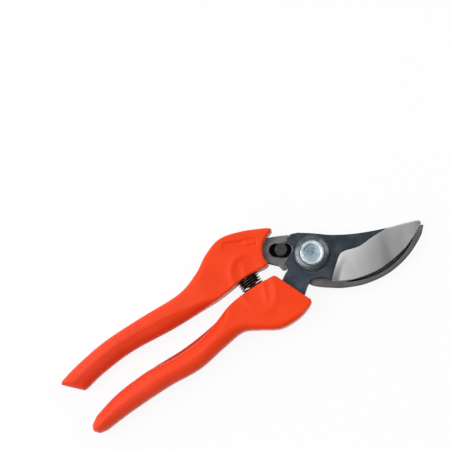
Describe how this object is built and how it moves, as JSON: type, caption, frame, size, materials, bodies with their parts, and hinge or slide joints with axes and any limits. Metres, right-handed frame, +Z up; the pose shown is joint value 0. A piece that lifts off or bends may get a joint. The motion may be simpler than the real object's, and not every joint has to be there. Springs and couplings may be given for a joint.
{
  "type": "pruning shears",
  "caption": "Bypass pruning shears with orange moulded grips, a blued cutting blade, a satin hook blade, a return spring and a sliding catch, closed.",
  "frame": {"origin": "on the pivot axis, at the plane that the shears lie on", "axes": "+X from the pivot towards the blades' tips, +Y towards the hook blade's grip, +Z up, out of the side with the round bolt head"},
  "size_m": [0.2002, 0.0585, 0.017],
  "materials": {
    "orange_grip": "satin",
    "blued_steel": "satin",
    "satin_steel": "satin",
    "zinc_steel": "satin",
    "spring_steel": "satin",
    "black_plastic": "matte"
  },
  "bodies": {
    "hook_arm": {"counter_blade": "satin_steel", "hook_handle": "orange_grip", "pivot_bolt": "zinc_steel", "pivot_nut": "zinc_steel", "head_washer": "blued_steel", "nut_washer": "zinc_steel", "return_spring": "spring_steel", "hook_spring_seat": "black_plastic"},
    "blade_arm": {"cutting_blade": "blued_steel", "blade_handle": "orange_grip", "blade_spring_seat": "black_plastic"},
    "catch": {"catch_knob": "blued_steel", "catch_slider": "black_plastic", "catch_clip": "spring_steel"}
  },
  "joints": [
    {"name": "blade_pivot", "type": "hinge", "parent": "hook_arm", "child": "blade_arm", "pos_m": [0, 0, 0], "axis": [0, 0, 1], "range_deg": [0, 41], "deforming": ["return_spring"]},
    {"name": "catch_slide", "type": "slide", "parent": "hook_arm", "child": "catch", "axis": [-0.866, 0.5, 0], "range_m": [0, 0.0028]}
  ],
  "couplings": [
    {"joint": "catch_slide", "follows": "blade_pivot", "m_per_rad": 0.00391}
  ]
}
